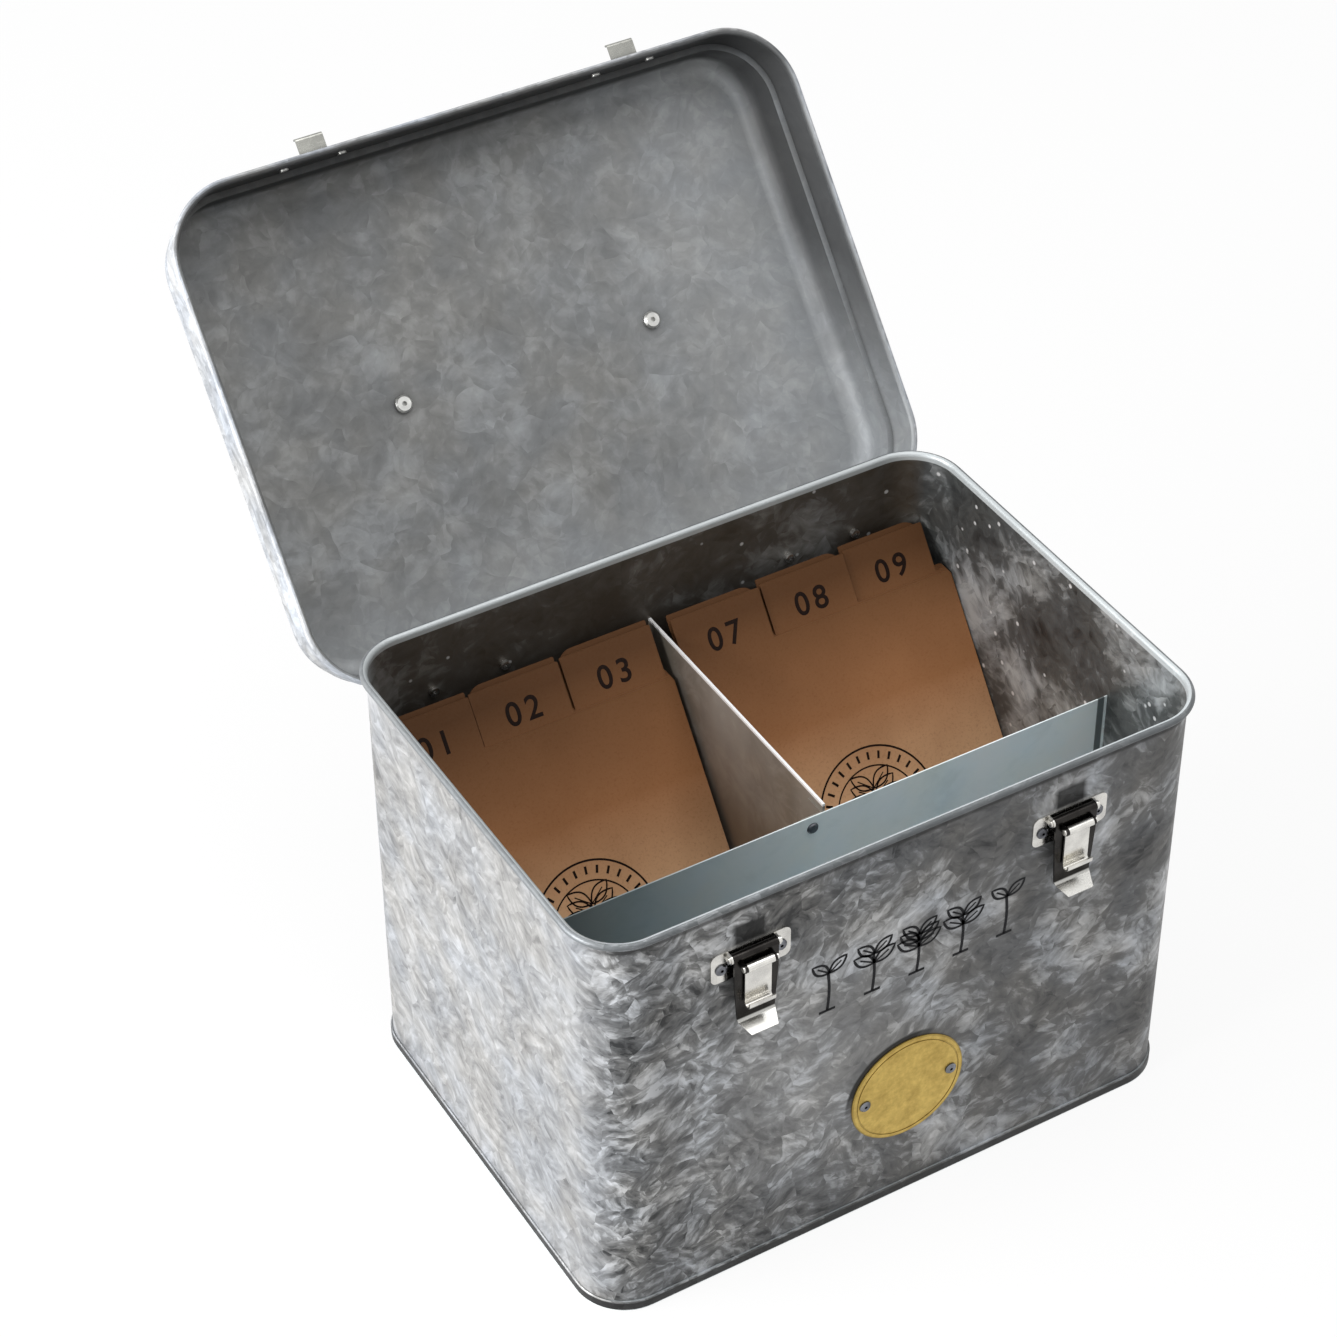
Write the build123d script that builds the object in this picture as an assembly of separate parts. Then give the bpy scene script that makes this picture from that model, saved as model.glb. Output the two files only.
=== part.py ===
"""Galvanised seed box: a wired sheet-metal body with two compartments of month cards behind an open front
compartment, a stepped lid on two concealed hinges, two claw latches, a folding bail and a round brass plate.

Millimetres. +X to the right along the front, the front faces -Y, +Z up, origin at the middle of the base.
The lid is drawn shut and then turned open to its stop; latches hang open and the cards lean back.
"""
import os
from math import cos, radians, sin, tan

from build123d import *

# Body
WIDTH = 285.0  # over the side walls
DEPTH = 205.0  # over the front and back walls
HEIGHT = 210.0  # to the top of the rim
SHEET = 0.6
CORNER = 22.0  # outside radius of the upright corners
RIM_RADIUS = 1.65  # roll round the top edge
WIRE_RADIUS = 0.95  # wire inside that roll
WIRE_FLATS = 8  # the wire never shows, so it is drawn with flats in place of a round section
ROLL_SQUASH = 0.96  # width over height of the rolled edges of body and lid
SEAM_HEIGHT = 5.0  # folded seam round the base
SEAM_FOLD = 1.1  # how far it stands outside the walls
LAP_WIDTH = 8.0  # where the wall sheet meets itself, round the back right corner
LAP_FROM_SIDE = 14.0  # from the side wall to the middle of the lap

# Partition and divider
FRONT_ROOM = 63.6  # inside of the front wall to the partition
PARTITION_DROP = 44.0  # top edge below the rim
DIVIDER_DROP = 40.0
CLIP_LEG = 10.0  # angle clips between divider and partition
CLIP_HEIGHT = 12.0
DIVIDER_HEM = 5.0
DIVIDER_RIVET_DROPS = (6.0, 66.0, 126.0)  # below the top of the partition

# Lid, drawn shut
LID_STOP = 130.0  # degrees that it opens
LID_GAP = 5.0  # lower skirt to the body walls
LID_CORNER = 30.5  # inside radius of the lower skirt
LID_STEP = 2.8  # how far the skirt steps in above the rim
LID_OVERLAP = 18.3  # lower edge below the top of the rim
LID_INSIDE = 39.8  # lower edge to the underside of the panel
LID_BEND = 9.0  # outside radius between the upper skirt and the panel
LID_ROLL_RADIUS = 1.6
LID_SEAT = 0.4  # step to rim when shut

# Hinges
HINGE_SPACING = 176.0
HINGE_WIDTH = 46.0
HINGE_DROP = 20.4  # axis below the top of the rim
LEAF = 0.8
BARREL_RADIUS = 2.5
HINGE_PIN_RADIUS = 1.1
KNUCKLES = 5
KNUCKLE_GAP = 0.2
BODY_LEAF_LENGTH = 21.6
LID_LEAF_LENGTH = 16.4
HINGE_RIVET_SPACING = 34.0
BODY_RIVET_DROP = 14.6  # below the hinge axis
LID_RIVET_RISE = 11.2  # above the hinge axis

# Latches, hanging open on the front wall
LATCH_SPACING = 150.0
LATCH_PLATE_WIDTH = 36.0
LATCH_PLATE_HEIGHT = 15.0
LATCH_PLATE_TOP = 25.0  # below the rim
LATCH_GAUGE = 0.8
LATCH_RIVET_SPACING = 27.0
LATCH_RIVET_DROP = 8.2  # below the top of the latch plate
LEVER_PIN_DROP = 2.4  # below the top of the latch plate
LEVER_PIN_RADIUS = 1.0
LEVER_KNUCKLE_RADIUS = 2.0
LEVER_WIDTH = 20.0
LEVER_TIP_WIDTH = 17.0
LEVER_LENGTH = 33.0
LEVER_CURL = 2.0
LEVER_LIP = 7.2  # how far the finger lip flares out
LEVER_LIP_DROP = 2.8
LEVER_LIP_WIDTH = 10.0
CLAW_PIN_DROP = 3.2  # below the lever pin
CLAW_PIN_OUT = 2.4  # outside the face of the lever
CLAW_PIN_RADIUS = 0.9
CLAW_KNUCKLE_RADIUS = 1.8
CLAW_WIDTH = 12.0
CLAW_LENGTH = 19.0  # claw pin to the start of the curl
CLAW_CURL = 1.8
CLAW_TIP = 1.2
LATCH_EAR_GAP = 0.3

# Keepers on the front skirt of the lid
KEEPER_PLATE_HEIGHT = 12.0
KEEPER_RIVET_RISE = 5.2  # above the lower edge of the plate
KEEPER_WIDTH = 12.5
KEEPER_REACH = 8.8  # hook beyond the plate
KEEPER_LIP = 1.6

# Rivets
RIVET_RADIUS = 1.6
RIVET_HEAD_RADIUS = 2.6
RIVET_HEAD = 1.0
RIVET_TAIL_RADIUS = 2.1
RIVET_TAIL = 1.0
POP_TAIL = 1.8
POP_BORE_RADIUS = 0.7  # left in a blind rivet by its mandrel

# Carrying bail on the lid
BAIL_CLIP_SPACING = 124.0
BAIL_CLIP_LENGTH = 20.0
BAIL_CLIP_WIDTH = 15.0
BAIL_CLIP_GAUGE = 1.2
BAIL_RADIUS = 2.0
BAIL_HEIGHT = 6.0  # pivot above the lid panel
BAIL_LEG = 34.0
BAIL_BEND = 9.0
BAIL_END_RADIUS = 3.2
BAIL_CLEARANCE = 0.08
HANDLE_RIVET_RADIUS = 2.2
HANDLE_TAIL_RADIUS = 3.9
HANDLE_TAIL = 2.6

# Name plate
PLATE_RADIUS = 27.3
PLATE_GAUGE = 0.8
PLATE_CENTRE = (2.5, 62.3)  # across and up
PLATE_RIVET_SPACING = 42.3
PLATE_RING_RADIUS = 24.9  # middle of the turned groove
PLATE_RING_WIDTH = 0.7
PLATE_RING_DEPTH = 0.25

# Month cards
CARDS_EACH_SIDE = 6
CARD_LEAN = 36.6  # degrees back from upright
CARD_HEIGHT = 215.0  # with its tab
CARD_SHOULDER = 192.0
CARD_THICKNESS = 0.75
CARD_PITCH = 0.98  # square to the cards
TAB_COUNT = 3
CARD_INNER_GAP = 1.9  # to the divider
CARD_OUTER_GAP = 0.6  # to the side wall
CARD_CORNER = 2.0
TAB_START = 2.4  # from the inner edge of a card to its tabs
TAB_PITCH = 44.4
TAB_SLIT = 1.5  # between an inner tab and the middle one
OUTER_TAB_SLIT = 0.6  # between a middle tab and the outer one
TAB_INSET = 6.0  # from the outer edge of a card to its outer tab
TAB_CORNER = 0.6
REAR_TAB_CORNER = 8.0  # the rear cards clear the round corner of the box
SOFT_GAP = 0.3  # cards to the metal round them

RUNNING = 0.05  # radial clearance round a hinge or latch pin
DRILL_REACH = 4.0  # how far a drilled hole runs to either side of its rivet seat

# Worked out from the above
FRONT_FACE = -DEPTH / 2
BACK_FACE = DEPTH / 2
RIM_OFFSET = RIM_RADIUS - SHEET
RIM_LEVEL = HEIGHT - RIM_RADIUS
PARTITION_HEIGHT = HEIGHT - PARTITION_DROP
DIVIDER_HEIGHT = HEIGHT - DIVIDER_DROP
PARTITION_FACE = FRONT_FACE + SHEET + FRONT_ROOM
HINGE_OUT = BARREL_RADIUS
HINGE_Y = BACK_FACE + HINGE_OUT
HINGE_Z = HEIGHT - HINGE_DROP
LID_EDGE = HEIGHT - LID_OVERLAP
LID_TOP = LID_EDGE + LID_INSIDE + SHEET
LATCH_TOP = HEIGHT - LATCH_PLATE_TOP
LATCH_RIVET_LEVEL = LATCH_TOP - LATCH_RIVET_DROP
LEVER_PIN_LEVEL = LATCH_TOP - LEVER_PIN_DROP
LEVER_PIN_OUT = LATCH_GAUGE + KNUCKLE_GAP + LEVER_KNUCKLE_RADIUS
LEVER_FACE = LEVER_PIN_OUT + LEVER_KNUCKLE_RADIUS
CLAW_PIN_LEVEL = LEVER_PIN_LEVEL - CLAW_PIN_DROP
CLAW_OUT = LEVER_FACE + CLAW_PIN_OUT
KEEPER_EDGE = LID_EDGE + 2 * LID_ROLL_RADIUS
SIDES = {"left": -1, "right": 1}


def block(offset, corner, low, high):
    """A block with round upright corners, its sides `offset` outside the body walls."""
    outline = RectangleRounded(WIDTH + 2 * offset, DEPTH + 2 * offset, corner)
    return Pos(0, 0, low) * extrude(outline, high - low)


def band(offset, corner, level, section):
    """A bar of that section, local x across and y up, right round the box `offset` outside its walls."""
    half_x, half_y = WIDTH / 2 + offset, DEPTH / 2 + offset
    straight_x, straight_y = half_x - corner, half_y - corner
    bars = []
    for side in (-1, 1):
        along_x = Plane(origin=(0, side * half_y, level), x_dir=(0, 1, 0), z_dir=(1, 0, 0)) * section
        along_y = Plane(origin=(side * half_x, 0, level), x_dir=(-1, 0, 0), z_dir=(0, 1, 0)) * section
        bars += [extrude(along_x, straight_x, both=True), extrude(along_y, straight_y, both=True)]
        for end in (-1, 1):
            start = Plane(origin=(side * half_x, end * straight_y, level), x_dir=(-1, 0, 0), z_dir=(0, 1, 0))
            pivot = Axis((side * straight_x, end * straight_y, level), (0, 0, side * end))
            bars.append(revolve(start * section, pivot, 90))
    return bars[0].fuse(*bars[1:])


def rolled(radius):
    """Section of a rolled sheet edge."""
    return Ellipse(ROLL_SQUASH * radius, radius)


def wire_section(clearance=0.0):
    return RegularPolygon(WIRE_RADIUS - clearance, WIRE_FLATS)


def front_plane(x):
    """The plane across the front wall at x: local x is out of the wall, local y is up."""
    return Plane(origin=(x, FRONT_FACE, 0), x_dir=(0, -1, 0), z_dir=(-1, 0, 0))


def back_plane(x):
    """The plane across the back wall at x: local x is out of the wall, local y is up."""
    return Plane(origin=(x, BACK_FACE, 0), x_dir=(0, 1, 0), z_dir=(1, 0, 0))


def on_front(x, out, z):
    """A plane on the front that faces out of the box."""
    return Plane(origin=(x, FRONT_FACE - out, z), x_dir=(1, 0, 0), z_dir=(0, -1, 0))


def on_back(x, out, z):
    """A plane on the back that faces out of the box."""
    return Plane(origin=(x, BACK_FACE + out, z), x_dir=(-1, 0, 0), z_dir=(0, 1, 0))


def bar(plane, sketch, width):
    """A sketch on a cross-section plane, thickened evenly to both sides."""
    return extrude(plane * sketch, width / 2, both=True)


def rod(plane, out, level, radius, width):
    """A round bar along X, centred on a cross-section plane."""
    return bar(plane, Pos(out, level) * Circle(radius), width)


def rivet(seat, grip, tail=RIVET_TAIL, bore=0.0):
    """A rivet: bevelled head on the plane `seat`, tail behind `grip` of sheet, and a bore if it is a blind one."""
    head = extrude(Circle(RIVET_HEAD_RADIUS), RIVET_HEAD)
    head = chamfer(head.edges().sort_by(Axis.Z)[-1], 0.5 * RIVET_HEAD)
    shank = Pos(0, 0, -grip) * extrude(Circle(RIVET_RADIUS), grip)
    end = Pos(0, 0, -grip - tail) * extrude(Circle(RIVET_TAIL_RADIUS), tail)
    solid = head + shank + end
    if bore:
        solid -= extrude(Circle(bore), grip + tail, both=True)
    return seat * solid


def drill(solid, seats, radius=RIVET_RADIUS):
    """A hole for the rivet on each plane in `seats`."""
    for seat in seats:
        solid -= extrude(seat * Circle(radius), DRILL_REACH, both=True)
    return solid


def opened(solid):
    """What is drawn on the shut lid, turned open to the stop."""
    return solid.rotate(Axis((0, HINGE_Y, HINGE_Z), (-1, 0, 0)), LID_STOP)


# Where the rivets go: each plane is the seat of a head
def latch_seats(x):
    return [
        on_front(x + side * LATCH_RIVET_SPACING / 2, LATCH_GAUGE, LATCH_RIVET_LEVEL)
        for side in (-1, 1)
    ]


def keeper_seats(x):
    out = LID_GAP + SHEET + LATCH_GAUGE
    return [
        on_front(x + side * LATCH_RIVET_SPACING / 2, out, KEEPER_EDGE + KEEPER_RIVET_RISE)
        for side in (-1, 1)
    ]


def hinge_seats(x, out, z):
    return [on_back(x + side * HINGE_RIVET_SPACING / 2, out, z) for side in (-1, 1)]


def body_hinge_seats(x):
    return hinge_seats(x, LEAF, HINGE_Z - BODY_RIVET_DROP)


def lid_hinge_seats(x):
    return hinge_seats(x, LID_GAP + SHEET, HINGE_Z + LID_RIVET_RISE)


def handle_seats():
    z = LID_TOP + BAIL_CLIP_GAUGE
    return [Plane(origin=(side * BAIL_CLIP_SPACING / 2, 0, z)) for side in SIDES.values()]


def plate_seats():
    x, z = PLATE_CENTRE
    return [on_front(x + side * PLATE_RIVET_SPACING / 2, PLATE_GAUGE, z) for side in (-1, 1)]


def divider_seats():
    out = PARTITION_FACE - FRONT_FACE
    x = -(SHEET + CLIP_LEG) / 2
    return [on_front(x, -out, PARTITION_HEIGHT - drop) for drop in DIVIDER_RIVET_DROPS]


def latch_x():
    return [side * LATCH_SPACING / 2 for side in SIDES.values()]


def hinge_x():
    return [side * HINGE_SPACING / 2 for side in SIDES.values()]


# Body
def body_shell():
    inside = block(-SHEET, CORNER - SHEET, 0, HEIGHT)
    walls = block(0, CORNER, SHEET, RIM_LEVEL)
    walls += band(RIM_OFFSET, CORNER + RIM_OFFSET, RIM_LEVEL, rolled(RIM_RADIUS))
    walls -= inside
    walls -= band(RIM_OFFSET, CORNER + RIM_OFFSET, RIM_LEVEL, wire_section())
    fold = block(SEAM_FOLD, CORNER + SEAM_FOLD, SHEET, SEAM_HEIGHT)
    walls += chamfer(fold.edges().group_by(Axis.Z)[-1], 0.4 * SEAM_FOLD) - inside
    lap = block(SHEET, CORNER + SHEET, SEAM_HEIGHT, RIM_LEVEL - RIM_RADIUS)
    lap -= block(-SHEET / 2, CORNER, 0, HEIGHT)
    lap_x = WIDTH / 2 - LAP_FROM_SIDE
    walls += lap & Pos(lap_x, BACK_FACE, HEIGHT / 2) * Box(LAP_WIDTH, 2 * CORNER, HEIGHT)
    for x in latch_x():
        walls = drill(walls, latch_seats(x))
    for x in hinge_x():
        walls = drill(walls, body_hinge_seats(x))
    return drill(walls, plate_seats())


def rim_wire():
    return band(RIM_OFFSET, CORNER + RIM_OFFSET, RIM_LEVEL, wire_section(RUNNING))


def base_pan():
    """The floor sheet, which the folded seam of the walls holds round its edge."""
    pan = block(SEAM_FOLD, CORNER + SEAM_FOLD, 0, SHEET)
    return chamfer(pan.edges().group_by(Axis.Z)[0], 0.5 * SHEET)


def front_partition():
    width = WIDTH - 2 * SHEET
    sheet = Pos(0, PARTITION_FACE + SHEET / 2, SHEET) * Box(
        width, SHEET, PARTITION_HEIGHT - SHEET, align=(Align.CENTER, Align.CENTER, Align.MIN)
    )
    return drill(sheet, divider_seats())


def centre_divider():
    """A sheet on edge from the partition to the back wall, with a hem along its top."""
    front = PARTITION_FACE + SHEET
    depth = BACK_FACE - SHEET - front
    low = (Align.CENTER, Align.MIN, Align.MIN)
    web = Pos(0, front, SHEET) * Box(SHEET, depth, DIVIDER_HEIGHT - SHEET, align=low)
    hem = Pos(SHEET, front, DIVIDER_HEIGHT - DIVIDER_HEM) * Box(SHEET, depth, DIVIDER_HEM, align=low)
    return web + hem


def divider_clip(seat):
    """An angle clip in the corner between divider and partition, with its rivet hole on `seat`."""
    middle = (Align.MAX, Align.MIN, Align.CENTER)
    spot = Pos(-SHEET / 2, PARTITION_FACE + SHEET, seat.origin.Z)
    leg = Box(CLIP_LEG, SHEET, CLIP_HEIGHT, align=middle) + Box(SHEET, CLIP_LEG, CLIP_HEIGHT, align=middle)
    return drill(spot * leg, [seat])


def name_plate():
    x, z = PLATE_CENTRE
    disc = extrude(on_front(x, 0, z) * Circle(PLATE_RADIUS), PLATE_GAUGE)
    disc = chamfer(disc.edges().sort_by(Axis.Y)[0], 0.4 * PLATE_GAUGE)
    half = PLATE_RING_WIDTH / 2
    ring = Circle(PLATE_RING_RADIUS + half) - Circle(PLATE_RING_RADIUS - half)
    disc -= extrude(on_front(x, PLATE_GAUGE - PLATE_RING_DEPTH, z) * ring, PLATE_GAUGE)
    return drill(disc, plate_seats())


# Hinges
def knuckle_spans(first):
    """Middles of every other knuckle along the hinge, starting with knuckle `first`."""
    pitch = HINGE_WIDTH / KNUCKLES
    return [(n - (KNUCKLES - 1) / 2) * pitch for n in range(first, KNUCKLES, 2)]


def hinge_leaf(x, first, out, away):
    """A leaf with its barrel knuckles: `out` is the leaf's inner face and `away` its end, both from the axis."""
    plane = back_plane(x)
    pitch = HINGE_WIDTH / KNUCKLES
    middle = HINGE_OUT + out + LEAF / 2
    leaf = bar(plane, Pos(middle, HINGE_Z + away / 2) * Rectangle(LEAF, abs(away)), HINGE_WIDTH - KNUCKLE_GAP)
    clear = bar(plane, Pos(HINGE_OUT, HINGE_Z) * Circle(BARREL_RADIUS + KNUCKLE_GAP + RUNNING), HINGE_WIDTH)
    leaf -= clear
    for along in knuckle_spans(first):
        spot = back_plane(x + along)
        root = Pos(middle, HINGE_Z + away / 8) * Rectangle(LEAF, abs(away) / 4)
        leaf += bar(spot, Pos(HINGE_OUT, HINGE_Z) * Circle(BARREL_RADIUS) + root, pitch - KNUCKLE_GAP)
    return leaf - rod(plane, HINGE_OUT, HINGE_Z, HINGE_PIN_RADIUS + RUNNING, HINGE_WIDTH)


def body_leaf(x):
    leaf = hinge_leaf(x, 0, -BARREL_RADIUS, -BODY_LEAF_LENGTH)
    return drill(leaf, body_hinge_seats(x))


def lid_leaf(x):
    leaf = hinge_leaf(x, 1, LID_GAP - LEAF - HINGE_OUT, LID_LEAF_LENGTH)
    return drill(leaf, lid_hinge_seats(x))


def hinge_pin(x):
    return rod(back_plane(x), HINGE_OUT, HINGE_Z, HINGE_PIN_RADIUS, HINGE_WIDTH)


# Lid
def lid_shell():
    upper_corner = LID_CORNER - LID_STEP
    seat = HEIGHT + LID_SEAT
    upper_gap = LID_GAP - LID_STEP
    top = block(upper_gap + SHEET, upper_corner + SHEET, seat, LID_TOP)
    top = fillet(top.edges().group_by(Axis.Z)[-1], LID_BEND)
    roll_level = LID_EDGE + LID_ROLL_RADIUS
    skirt = block(LID_GAP + SHEET, LID_CORNER + SHEET, roll_level, seat + SHEET)
    skirt = chamfer(skirt.edges().group_by(Axis.Z)[-1], 0.8 * SHEET)
    middle = LID_GAP + LID_ROLL_RADIUS
    roll = band(middle, LID_CORNER + LID_ROLL_RADIUS, roll_level, rolled(LID_ROLL_RADIUS))
    hollow = block(upper_gap, upper_corner, seat, LID_TOP - SHEET)
    hollow = fillet(hollow.edges().group_by(Axis.Z)[-1], LID_BEND - SHEET)
    lid = top + skirt + roll - hollow - block(LID_GAP, LID_CORNER, LID_EDGE, seat)
    for x in latch_x():
        lid = drill(lid, keeper_seats(x))
    for x in hinge_x():
        lid = drill(lid, lid_hinge_seats(x))
    return drill(lid, handle_seats(), HANDLE_RIVET_RADIUS)


def keeper(x):
    """A plate on the skirt whose middle is bent out over the rolled edge, with an upturned lip for the claw."""
    plane = front_plane(x)
    out = LID_GAP + SHEET
    plate = extrude(
        on_front(x, out, KEEPER_EDGE + KEEPER_PLATE_HEIGHT / 2)
        * RectangleRounded(LATCH_PLATE_WIDTH, KEEPER_PLATE_HEIGHT, 3),
        LATCH_GAUGE,
    )
    half = LATCH_GAUGE / 2
    tip = out + LATCH_GAUGE + KEEPER_REACH - half
    path = FilletPolyline(
        (out, KEEPER_EDGE + half), (tip, KEEPER_EDGE + half), (tip, KEEPER_EDGE + LATCH_GAUGE + KEEPER_LIP),
        radius=LATCH_GAUGE,
    )
    hook = bar(plane, trace(path, LATCH_GAUGE), KEEPER_WIDTH)
    return drill(plate + hook, keeper_seats(x))


# Latches
def ears(x, spread, out, level, reach, radius):
    """Two cheeks that stand `reach` out from a plate and end round at the pin."""
    plane = front_plane(x)
    cheek = Pos(out - reach / 2, level) * Rectangle(reach, 2 * radius) + Pos(out, level) * Circle(radius)
    middle = spread / 2 + LATCH_EAR_GAP + LATCH_GAUGE / 2
    return [bar(front_plane(x + side * middle), cheek, LATCH_GAUGE) for side in (-1, 1)]


def headed_pin(x, out, level, radius, spread):
    """A pin along X with a thin head outside each cheek."""
    plane = front_plane(x)
    over = spread + 2 * (LATCH_EAR_GAP + LATCH_GAUGE)
    pin = rod(plane, out, level, radius, over)
    for side in (-1, 1):
        spot = front_plane(x + side * (over + LATCH_GAUGE) / 2)
        pin += rod(spot, out, level, 1.5 * radius, LATCH_GAUGE)
    return pin


def latch_base(x):
    plate = extrude(
        on_front(x, 0, LATCH_TOP - LATCH_PLATE_HEIGHT / 2)
        * RectangleRounded(LATCH_PLATE_WIDTH, LATCH_PLATE_HEIGHT, 3),
        LATCH_GAUGE,
    )
    for ear in ears(x, LEVER_WIDTH, LEVER_PIN_OUT, LEVER_PIN_LEVEL, LEVER_PIN_OUT - LATCH_GAUGE / 2,
                    LEVER_KNUCKLE_RADIUS):
        plate += ear
    plate -= rod(front_plane(x), LEVER_PIN_OUT, LEVER_PIN_LEVEL, LEVER_PIN_RADIUS, LATCH_PLATE_WIDTH)
    return drill(plate, latch_seats(x))


def lever_pin(x):
    return headed_pin(x, LEVER_PIN_OUT, LEVER_PIN_LEVEL, LEVER_PIN_RADIUS, LEVER_WIDTH)


def latch_lever(x):
    """A hanging plate rolled round its pin, narrower at the foot, where it flares out into a finger lip."""
    plane = front_plane(x)
    middle = LEVER_FACE - LATCH_GAUGE / 2
    foot = LEVER_PIN_LEVEL - LEVER_LENGTH
    path = FilletPolyline(
        (middle, LEVER_PIN_LEVEL), (middle, foot), (middle + LEVER_LIP, foot - LEVER_LIP_DROP), radius=LEVER_CURL
    )
    knuckle = Pos(LEVER_PIN_OUT, LEVER_PIN_LEVEL) * Circle(LEVER_KNUCKLE_RADIUS)
    lever = bar(plane, trace(path, LATCH_GAUGE) + knuckle, LEVER_WIDTH)
    half, tip, lip = LEVER_WIDTH / 2, LEVER_TIP_WIDTH / 2, LEVER_LIP_WIDTH / 2
    head, end = 2 * LEVER_KNUCKLE_RADIUS, -LEVER_LENGTH - LEVER_LIP_DROP - LATCH_GAUGE
    outline = Polyline(
        (-half, head), (half, head), (half, -LEVER_LENGTH / 3), (tip, -LEVER_LENGTH), (lip, end),
        (-lip, end), (-tip, -LEVER_LENGTH), (-half, -LEVER_LENGTH / 3), close=True,
    )
    lever &= extrude(on_front(x, 0, LEVER_PIN_LEVEL) * make_face(outline), 4 * LEVER_FACE)
    for ear in ears(x, CLAW_WIDTH, CLAW_OUT, CLAW_PIN_LEVEL, CLAW_PIN_OUT + LATCH_GAUGE / 2, CLAW_KNUCKLE_RADIUS):
        lever += ear
    lever -= rod(plane, CLAW_OUT, CLAW_PIN_LEVEL, CLAW_PIN_RADIUS, LEVER_WIDTH)
    return lever - rod(plane, LEVER_PIN_OUT, LEVER_PIN_LEVEL, LEVER_PIN_RADIUS + RUNNING, LEVER_WIDTH)


def claw_pin(x):
    return headed_pin(x, CLAW_OUT, CLAW_PIN_LEVEL, CLAW_PIN_RADIUS, CLAW_WIDTH)


def latch_claw(x):
    """A narrow strap rolled round the claw pin, with its lower end curled out and back up."""
    plane = front_plane(x)
    start = CLAW_OUT - CLAW_KNUCKLE_RADIUS + LATCH_GAUGE / 2
    bottom = CLAW_PIN_LEVEL - CLAW_LENGTH
    strap = Line((start, CLAW_PIN_LEVEL), (start, bottom))
    curl = CenterArc((start + CLAW_CURL, bottom), CLAW_CURL, 180, 180)
    tip = Line((start + 2 * CLAW_CURL, bottom), (start + 2 * CLAW_CURL, bottom + CLAW_TIP))
    knuckle = Pos(CLAW_OUT, CLAW_PIN_LEVEL) * Circle(CLAW_KNUCKLE_RADIUS)
    claw = bar(plane, trace(strap + curl + tip, LATCH_GAUGE) + knuckle, CLAW_WIDTH)
    return claw - rod(plane, CLAW_OUT, CLAW_PIN_LEVEL, CLAW_PIN_RADIUS + RUNNING, CLAW_WIDTH)


# Carrying bail, drawn upright on the shut lid
def handle_clip(side):
    """A foot under one rivet, with an upright cheek at its outer end for the bail."""
    x = side * BAIL_CLIP_SPACING / 2
    foot = Pos(x, 0, LID_TOP) * extrude(RectangleRounded(BAIL_CLIP_LENGTH, BAIL_CLIP_WIDTH, 3), BAIL_CLIP_GAUGE)
    cheek_x = x + side * (BAIL_CLIP_LENGTH - BAIL_CLIP_GAUGE) / 2
    level = LID_TOP + BAIL_HEIGHT
    radius = BAIL_RADIUS + 2 * BAIL_CLIP_GAUGE
    cheek = Pos(0, BAIL_HEIGHT / 2) * Rectangle(2 * radius, BAIL_HEIGHT) + Pos(0, BAIL_HEIGHT) * Circle(radius)
    upright = Plane(origin=(cheek_x, 0, LID_TOP), x_dir=(0, 1, 0), z_dir=(1, 0, 0))
    clip = foot + extrude(upright * cheek, BAIL_CLIP_GAUGE / 2, both=True)
    bore = Plane(origin=(cheek_x, 0, level), z_dir=(1, 0, 0)) * Circle(BAIL_RADIUS + BAIL_CLEARANCE)
    clip -= extrude(bore, BAIL_CLIP_GAUGE, both=True)
    return drill(clip, handle_seats(), HANDLE_RIVET_RADIUS)


def handle_rivets():
    solids = []
    grip = BAIL_CLIP_GAUGE + SHEET
    for seat in handle_seats():
        head = extrude(Circle(1.8 * HANDLE_RIVET_RADIUS), RIVET_HEAD)
        head = chamfer(head.edges().sort_by(Axis.Z)[-1], 0.5 * RIVET_HEAD)
        shank = Pos(0, 0, -grip) * extrude(Circle(HANDLE_RIVET_RADIUS), grip)
        tail = Pos(0, 0, -grip - HANDLE_TAIL) * extrude(Circle(HANDLE_TAIL_RADIUS), HANDLE_TAIL)
        tail = chamfer(tail.edges().sort_by(Axis.Z)[0], 0.3 * HANDLE_TAIL)
        bore = Pos(0, 0, -grip - HANDLE_TAIL) * extrude(Circle(0.5 * HANDLE_RIVET_RADIUS), 0.8 * HANDLE_TAIL)
        solids.append(seat * (head + shank + tail - bore))
    return solids


def handle_bail():
    """A wire bail whose ends turn in through the clips and are upset inside them."""
    level = LID_TOP + BAIL_HEIGHT
    inner = (BAIL_CLIP_SPACING + BAIL_CLIP_LENGTH) / 2 - 4 * BAIL_CLIP_GAUGE
    leg = (BAIL_CLIP_SPACING + BAIL_CLIP_LENGTH) / 2 + BAIL_BEND / 2
    top = level + BAIL_LEG
    path = FilletPolyline(
        (-inner, 0, level), (-leg, 0, level), (-leg, 0, top), (leg, 0, top), (leg, 0, level), (inner, 0, level),
        radius=[BAIL_BEND / 3, BAIL_BEND, BAIL_BEND, BAIL_BEND / 3],
    )
    bail = sweep(Plane(origin=path @ 0, z_dir=path % 0) * Circle(BAIL_RADIUS), path)
    for side in (-1, 1):
        end = Plane(origin=(side * inner, 0, level), z_dir=(side, 0, 0)) * Circle(BAIL_END_RADIUS)
        bail += extrude(end, BAIL_CLIP_GAUGE)
    return bail


def hung(bail):
    """The bail on the open lid, hanging straight down."""
    pivot = Axis((0, 0, LID_TOP + BAIL_HEIGHT), (-1, 0, 0))
    return opened(bail.rotate(pivot, 180 - LID_STOP))


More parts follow.
